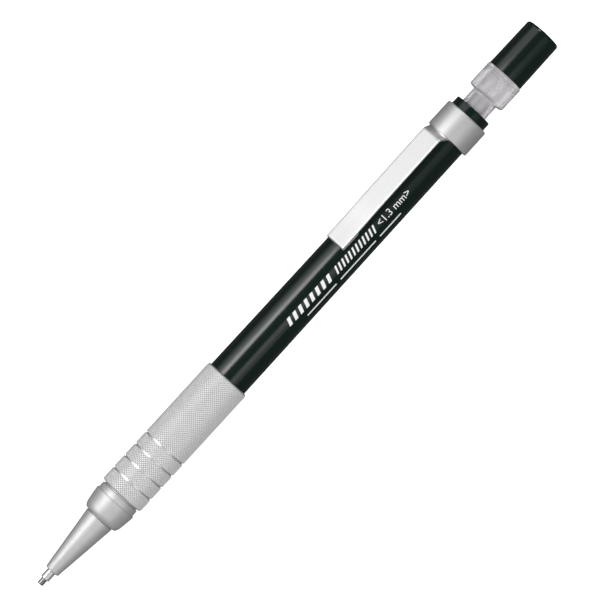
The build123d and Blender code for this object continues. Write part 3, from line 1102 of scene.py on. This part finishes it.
    def arm_surface(self) -> tuple[np.ndarray, np.ndarray]:
        """Points and faces of the spring arm with its folded tab.

        Formula: the section stands on the spine's normal and on Y. Its half sizes shrink at the
        tab's end by the quarter round e - sqrt(e^2 - (e - d)^2). Towards the ring each point (y, n)
        turns into the ring's curve, (n sin(y / R), n cos(y / R)), with n its distance from the axis.

        Returns:
            Points in metres and faces.
        """
        spine, half_width, half_thick = self.spine()
        tangent = np.gradient(spine, axis=0)
        tangent /= np.linalg.norm(tangent, axis=1, keepdims=True)
        from_end = np.clip(np.linalg.norm(spine - spine[0], axis=1), 0, self.tip_round)
        shrink = self.tip_round - np.sqrt(self.tip_round**2 - (self.tip_round - from_end) ** 2)
        half_width, half_thick = half_width - shrink, half_thick - shrink
        spine = np.concatenate([spine[:1], spine, spine[-1:]])
        tangent = np.concatenate([tangent[:1], tangent, tangent[-1:]])
        half_width = np.concatenate([[0], half_width, [0]])
        half_thick = np.concatenate([[0], half_thick, [0]])
        edge = np.minimum(self.edge, half_thick)
        square, step = self.section()
        side = np.minimum(edge, half_width)
        across = square[:, 0] * (half_width - side)[:, None] + step[:, 0] * side[:, None]
        rise = square[:, 1] * (half_thick - edge)[:, None] + step[:, 1] * edge[:, None]
        station = spine[:, 0:1] - tangent[:, 1:2] * rise
        upright = spine[:, 1:2] + tangent[:, 0:1] * rise
        bend = self.joggle(spine[:, 0])[:, None]
        angle = across / self.ring_radius
        across = across * (1 - bend) + upright * np.sin(angle) * bend
        upright = upright * (1 - bend) + upright * np.cos(angle) * bend
        points = DATUM.place(station, across, upright)
        return points.reshape(-1, 3), grid_quads(len(spine), square.shape[0], False, True)

    def build(self) -> None:
        """Build ring and arm as one stamping that bends where the arm leaves the ring.

        The ring's faces come first in the mesh, and they take the clip steel painted darker, a painted shade
        on the ring.
        """
        ring_points, ring_faces = self.ring_surface()
        arm_points, arm_faces = self.arm_surface()
        points = np.concatenate([ring_points, arm_points])
        faces = np.concatenate([ring_faces, arm_faces + len(ring_points)])
        clip = make_piece("stamped_clip", points, faces, crease=50.0)
        clip.data.materials.append(STAMPED_STEEL.material())
        # painted shade: the ring's faces take the clip steel in a darker tone than the arm
        clip.data.materials.append(SHADED_RING_STEEL.material())
        on_ring = np.arange(len(clip.data.polygons)) < len(ring_faces)
        clip.data.polygons.foreach_set("material_index", on_ring.astype(np.int32))
        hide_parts("clip_ring", "clip_arm")
        DATUM.point(self.ring_start, self.ring_radius)
        DATUM.point(self.joggle_start - 1.8, self.ring_radius)
        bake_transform(clip)
        LOG.info("%s: %d faces across clip_flex", clip.name, len(clip.data.polygons))


@dataclass(frozen=True)
class PushEnd:
    """What shows behind the barrel: translucent knob, eraser and cap."""

    stem_start: float = 112.0
    stem_radius: float = 2.91
    flange_start: float = 129.5
    flange_end: float = 135.2
    flange_radius: float = 4.18
    ring_stations: tuple[float, ...] = (133.75, 134.35)
    ring_half: float = 0.1
    ring_depth: float = 0.07
    cap_end: float = 146.7
    cap_mouth: float = 3.98
    cap_tip: float = 3.88
    dome: float = 0.3
    cap_bore: float = 3.34
    spigot_end: float = 139.5
    spigot_radius: float = 3.3
    cup_start: float = 129.9
    cup_radius: float = 2.6
    tank_end: float = 129.0
    loading_radius: float = 1.05

    def knob(self) -> None:
        """The knob's stem, flange and eraser cup."""
        outline = rounded_outline([
            Corner(self.stem_start, 2.1), Corner(self.stem_start, self.stem_radius, 0.15),
            Corner(self.flange_start, self.stem_radius, 0.12),
            Corner(self.flange_start, self.flange_radius, 0.6),
            *self.flange_rings(),
            Corner(self.flange_end, self.flange_radius, 0.2), Corner(self.flange_end, self.spigot_radius),
            Corner(self.spigot_end, self.spigot_radius, 0.12), Corner(self.spigot_end, self.cup_radius, 0.08),
            Corner(self.cup_start, self.cup_radius, 0.2), Corner(self.cup_start, self.loading_radius, 0.1),
            Corner(self.tank_end, self.loading_radius, 0.1), Corner(self.tank_end, 2.1),
        ])
        CLEAR_KNOB.dress(turned("push_knob", outline), "push_unit", "knob")

    def flange_rings(self) -> list[Corner]:
        """The fine V rings turned into the flange beside the cap.

        Returns:
            Three corners for each ring.
        """
        steps = ((-self.ring_half, 0.0), (0.0, self.ring_depth), (self.ring_half, 0.0))
        return [
            Corner(middle + along, self.flange_radius - depth)
            for middle in self.ring_stations for along, depth in steps
        ]

    def eraser(self) -> None:
        """The eraser standing in the knob's cup."""
        outline = rounded_outline([
            Corner(130.6, 0), Corner(130.6, 2.58, 0.12), Corner(142.4, 2.58, 0.35), Corner(142.4, 0),
        ], closed=False)
        ERASER_WHITE.dress(turned("eraser_plug", outline, closed=False, around=96), "push_unit", "eraser")

    def cap(self) -> None:
        """The cap, tapering slightly to a domed end.

        Formula: the end's station is cap_end - dome * (r / cap_tip) ** 2.
        """
        radius = np.linspace(self.cap_tip - 0.9, 0, 10)
        dome = [Corner(self.cap_end - self.dome * (r / self.cap_tip) ** 2, r) for r in radius]
        outline = rounded_outline([
            Corner(144.2, 0), Corner(144.2, self.cap_bore, 0.3), Corner(self.flange_end, self.cap_bore, 0.06),
            Corner(self.flange_end, self.cap_mouth, 0.1),
            Corner(self.cap_end - self.dome, self.cap_tip, 0.6), *dome,
        ], closed=False, steps=8)
        DARK_GLOSS.dress(turned("end_cap", outline, closed=False), "cap_unit", "cap")

    def build(self) -> None:
        """Build knob, eraser and cap."""
        self.knob()
        self.eraser()
        self.cap()


@dataclass(frozen=True)
class LeadDrive:
    """The hidden mechanism that advances the lead, and the spare leads."""

    jaw_hinge: float = 24.0
    chuck_end: float = 37.0
    seat_end: float = 22.3
    spring_end: float = 33.0
    coil_radius: float = 1.78
    wire_radius: float = 0.2
    turns: int = 9
    push_travel: float = 3.0
    wire_sides: int = 10
    tank_end: float = 129.0
    tank_radius: float = 2.1
    tank_bore: float = 1.75
    lead_radius: float = 0.65
    spare_start: float = 68.4
    spare_length: float = 60.0

    def chuck(self) -> None:
        """The brass chuck behind its jaws, and the clutch ring round them."""
        for node in ("chuck_jaw_1", "chuck_jaw_2", "chuck_jaw_3"):
            jaw = frame["nodes"][node]
            for slot in jaw.material_slots:
                slot.material = CHUCK_BRASS.material()
            LOG.info("%s keeps its CAD shape", node)
        body = rounded_outline([
            Corner(self.jaw_hinge, 0.75), Corner(self.jaw_hinge, 1.15, 0.05),
            Corner(self.chuck_end, 1.15, 0.05), Corner(self.chuck_end, 0.75),
        ], steps=3)
        CHUCK_BRASS.dress(turned("chuck_shank", body, around=64), "push_unit", "chuck_body")
        ring = rounded_outline([
            Corner(15.25, 1.58, 0.1), Corner(15.25, 2.12, 0.12),
            Corner(17.4, 2.12, 0.12), Corner(17.4, 1.4, 0.1),
        ], steps=4)
        CHUCK_BRASS.dress(turned("jaw_clutch_ring", ring, around=96), "clutch_unit", "clutch_ring")

    def seat(self) -> None:
        """The fixed plastic seat of clutch ring and spring."""
        outline = rounded_outline([
            Corner(17.45, 1.75), Corner(17.45, 2.2, 0.06), Corner(21.45, 2.2), Corner(21.45, 2.7, 0.06),
            Corner(self.seat_end, 2.7, 0.06), Corner(self.seat_end, 1.45, 0.06),
            Corner(21.45, 1.45), Corner(21.45, 1.75),
        ], steps=3)
        NATURAL_PLASTIC.dress(turned("spring_seat", outline, around=96), "barrel_unit", "chuck_sleeve")

    def spring(self) -> None:
        """The return spring.

        Formula: the wire's middle is (s, R sin(t), R cos(t)) with s rising evenly over the turns; the
        wire's section stands on its outward and binormal directions.
        """
        along = np.linspace(0, 1, self.turns * 32 + 1)
        angle = along * self.turns * FULL_TURN
        first = self.seat_end + self.wire_radius
        span = self.spring_end - self.seat_end - 2 * self.wire_radius
        slope = span / (self.turns * FULL_TURN)
        length = math.hypot(self.coil_radius, slope)
        outward = np.stack([np.zeros_like(angle), np.sin(angle), np.cos(angle)], 1)
        tangent_round = np.stack([np.zeros_like(angle), np.cos(angle), -np.sin(angle)], 1)
        side = (np.array([1.0, 0, 0]) * self.coil_radius - tangent_round * slope) / length
        middle = np.stack([first + span * along, np.zeros_like(along), np.zeros_like(along)], 1)
        middle = middle + outward * self.coil_radius
        ring = np.linspace(0, FULL_TURN, self.wire_sides, endpoint=False)
        wire = self.wire_radius * np.concatenate([[0.0], np.ones(len(along)), [0.0]])[:, None, None]
        middle, outward, side = (
            np.concatenate([rows[:1], rows, rows[-1:]])[:, None, :] for rows in (middle, outward, side)
        )
        section = outward * np.cos(ring)[None, :, None] + side * np.sin(ring)[None, :, None]
        places = middle + wire * section
        points = DATUM.place(places[..., 0], places[..., 1], places[..., 2])
        faces = grid_quads(len(places), self.wire_sides, False, True)
        piece = make_piece("coil_return_spring", points, faces)
        SPRING_WIRE.dress(piece, "barrel_unit", "return_spring")
        DATUM.point(self.seat_end)
        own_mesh(piece)

    def tank(self) -> None:
        """The plastic joint with its funnel, and the tank for spare leads."""
        joint = rounded_outline([
            Corner(self.spring_end, 1.15), Corner(self.spring_end, 2.52, 0.12), Corner(46.0, 2.52, 0.12),
            Corner(46.0, self.tank_radius), Corner(40.0, self.tank_radius), Corner(40.0, self.tank_bore),
            Corner(39.6, self.tank_bore), Corner(self.chuck_end, 0.75), Corner(self.chuck_end, 1.15),
        ], steps=3)
        NATURAL_PLASTIC.dress(turned("tank_joint", joint, around=96), "push_unit", "chuck_joint")
        tube = rounded_outline([
            Corner(40.0, self.tank_bore), Corner(40.0, self.tank_radius),
            Corner(self.tank_end, self.tank_radius, 0.1), Corner(self.tank_end, self.tank_bore, 0.1),
        ])
        SMOKE_TUBE.dress(turned("spare_lead_tank", tube, around=96), "push_unit", "lead_tank")

    def spares(self) -> None:
        """Three spare leads: two side by side on the tank's floor and one on both.

        Formula: with pitch p and orbit o, the lower two lie at (+-p / 2, -sqrt(o^2 - p^2 / 4)), and the
        third p * sqrt(3) / 2 above them.
        """
        pitch = 2 * self.lead_radius + 0.01
        orbit = self.tank_bore - self.lead_radius - 0.01
        drop = math.sqrt(orbit**2 - pitch**2 / 4)
        places = {"spare_lead_1": (-pitch / 2, -drop), "spare_lead_2": (pitch / 2, -drop),
                  "spare_lead_3": (0.0, pitch * math.sqrt(3) / 2 - drop)}
        end = self.spare_start + self.spare_length
        outline = rounded_outline([
            Corner(self.spare_start, 0), Corner(self.spare_start, self.lead_radius, 0.08),
            Corner(end, self.lead_radius, 0.08), Corner(end, 0),
        ], closed=False, steps=3)
        for number, (node, (across, up)) in enumerate(places.items(), 1):
            stick = turned(f"spare_stick_{number}", outline, closed=False, around=40, across=across, up=up)
            GRAPHITE.dress(stick, "push_unit", node)

    def build(self) -> None:
        """Build the whole mechanism."""
        self.chuck()
        self.seat()
        self.spring()
        self.tank()
        self.spares()


# ------------------------------------------------------------------ studio


@dataclass(frozen=True)
class StripLight:
    """A long soft light beside the pencil: its angle from the view towards the clip side.

    Along X the light burns at its radiance from -reach to fade_at and at faded from there to reach. A
    second length past the push end, from end_start to end_reach, burns at end and lights reflections only.
    """

    name: str
    angle: float
    width: float
    radiance: float
    faded: float
    fade_at: float = 0.03
    end: float = 0.0
    reach: float = 0.8
    end_start: float = 1.0
    end_reach: float = 2.6
    distance: float = 1.3
    mirrored: bool = True


@dataclass(frozen=True)
class Studio:
    """Pale floor, soft lights and the camera."""

    elevation: float = 59.0
    roll: float = 47.55
    distance: float = 1.01
    lens: float = 309.0
    aim_right: float = 1.56
    aim_up: float = 1.66
    floor_reach: float = 6.0
    floor_glow: float = 0.8
    bounce_shade: float = 0.3
    surround: float = 0.08
    fill: float = 0.16
    backdrop: float = 1.0
    lights: tuple[StripLight, ...] = (
        StripLight("key_strip", 38.5, 0.42, 4.8, 0.8, end=6.5),
        StripLight("side_strip_near", 54.0, 0.30, 1.8, 0.7),
        StripLight("side_strip_middle", 67.0, 0.30, 0.8, 0.8),
        StripLight("side_strip_far", 80.0, 0.30, 0.3, 0.2),
        StripLight("low_strip_near", -27.0, 0.50, 0.9, 0.2),
        StripLight("low_strip_far", -47.0, 0.40, 0.4, 0.15),
        StripLight("front_panel", -14.0, 1.2, 2.6, 2.6, mirrored=False),
    )

    def directions(self) -> tuple[Vector, Vector]:
        """The directions that camera and lights are placed by.

        Returns:
            The one from the pencil to the camera, and the sideways one towards the clip.
        """
        tilt = math.radians(self.elevation)
        view = Vector((0, -math.cos(tilt), math.sin(tilt)))
        return view, view.cross(Vector((1, 0, 0)))

    def camera(self) -> None:
        """The camera: square to the pencil and rolled so that it runs corner to corner."""
        view, side = self.directions()
        roll = math.radians(self.roll)
        right = Vector((1, 0, 0)) * math.cos(roll) - side * math.sin(roll)
        up = Vector((1, 0, 0)) * math.sin(roll) + side * math.cos(roll)
        middle = (CAD_BOX[0] + CAD_BOX[1]) / 2
        aim = Vector((middle.x, 0, DATUM.axis_z)) + right * self.aim_right * MM + up * self.aim_up * MM
        lens = bpy.data.cameras.new("studio_camera")
        lens.lens = self.lens
        lens.clip_start = 0.05
        camera = bpy.data.objects.new("studio_camera", lens)
        turn = Matrix((right, up, view)).transposed().to_4x4()
        camera.matrix_world = Matrix.Translation(aim + view * self.distance) @ turn
        bpy.context.scene.collection.objects.link(camera)
        bpy.context.scene.camera = camera

    def strip(self, light: StripLight) -> None:
        """One strip light in up to three lengths, turned to face the pencil.

        Formula: an area light of radiance L emits L * pi * area watts.

        Args:
            light: the light's place, size and radiances.
        """
        view, side = self.directions()
        along = Vector((1, 0, 0))
        angle = math.radians(light.angle)
        towards = view * math.cos(angle) + side * math.sin(angle)
        turn = Matrix((along, towards.cross(along), towards)).transposed().to_4x4()
        lengths = (("bright", light.radiance, -light.reach, light.fade_at),
                   ("faded", light.faded, light.fade_at, light.reach),
                   ("end", light.end, light.end_start, light.end_reach))
        for label, radiance, first, last in lengths:
            if radiance == 0:
                continue
            lamp = bpy.data.lights.new(f"{light.name}_{label}", "AREA")
            lamp.shape = "RECTANGLE"
            lamp.size, lamp.size_y = last - first, light.width
            lamp.energy = radiance * math.pi * lamp.size * light.width
            holder = bpy.data.objects.new(lamp.name, lamp)
            place = towards * light.distance + along * (first + last) / 2
            holder.matrix_world = Matrix.Translation(place) @ turn
            holder.visible_camera = False
            holder.visible_glossy = light.mirrored
            holder.visible_diffuse = label != "end"
            bpy.context.scene.collection.objects.link(holder)

    def plane(self, name: str, height: float, shade: float, glow: float) -> bpy.types.Object:
        """A wide level plane of the stage.

        Args:
            name: its name.
            height: its height in metres.
            shade: its grey.
            glow: its own light.

        Returns:
            The plane, hidden from reflections.
        """
        signs = ((-1, -1), (1, -1), (1, 1), (-1, 1))
        corners = [(self.floor_reach * along, self.floor_reach * across, height) for along, across in signs]
        mesh = bpy.data.meshes.new(name)
        mesh.from_pydata(corners, [], [(0, 1, 2, 3)])
        plane = bpy.data.objects.new(name, mesh)
        bpy.context.scene.collection.objects.link(plane)
        material = bpy.data.materials.new(name)
        material.use_nodes = True
        shader = material.node_tree.nodes["Principled BSDF"]
        shader.inputs["Base Color"].default_value = (shade, shade, shade, 1)
        shader.inputs["Roughness"].default_value = 0.9
        shader.inputs["Specular IOR Level"].default_value = 0.0
        shader.inputs["Emission Color"].default_value = (1, 1, 1, 1)
        shader.inputs["Emission Strength"].default_value = glow
        mesh.materials.append(material)
        plane.visible_glossy = False
        return plane

    def floor(self) -> None:
        """The pale floor that is seen, and the grey one that lights the pencil from below."""
        seen = self.plane("studio_floor", 0.0, 0.9, self.floor_glow)
        seen.visible_diffuse = False
        seen.visible_shadow = False
        bounce = self.plane("studio_bounce", -0.002, self.bounce_shade, 0.0)
        bounce.visible_camera = False
        bounce.visible_transmission = False

    def surroundings(self) -> None:
        """Dim studio walls for reflections, broad fill for matte surfaces and a pale backdrop.

        Formula: strength = surround + camera ray * (backdrop - surround) + diffuse ray * (fill - surround).
        """
        world = bpy.data.worlds.new("studio")
        world.use_nodes = True
        kit = Sockets(world.node_tree)
        back = world.node_tree.nodes["Background"]
        path = kit.add("ShaderNodeLightPath")
        seen = kit.math("MULTIPLY", path.outputs["Is Camera Ray"], self.backdrop - self.surround)
        filled = kit.math("MULTIPLY", path.outputs["Is Diffuse Ray"], self.fill - self.surround)
        kit.join(kit.math("ADD", kit.math("ADD", seen, filled), self.surround), back.inputs["Strength"])
        back.inputs["Color"].default_value = (1, 1, 1, 1)
        bpy.context.scene.world = world

    def build(self) -> None:
        """Set up camera, lights, floor and surroundings."""
        bpy.context.scene.view_settings.view_transform = "Standard"
        self.camera()
        for light in self.lights:
            self.strip(light)
        self.floor()
        self.surroundings()


def main() -> None:
    """Build the studio and every sub-assembly in order, and report each piece."""
    logging.basicConfig(level=logging.INFO, format="%(name)s: %(message)s")
    worked_surface_group()
    handling_group()
    barrel = Barrel()
    for part in (Studio(), Point(), Grip(), barrel, RingClip(barrel), PushEnd(), LeadDrive()):
        LOG.info("building %s", type(part).__name__)
        part.build()


if __name__ == "__main__":
    main()
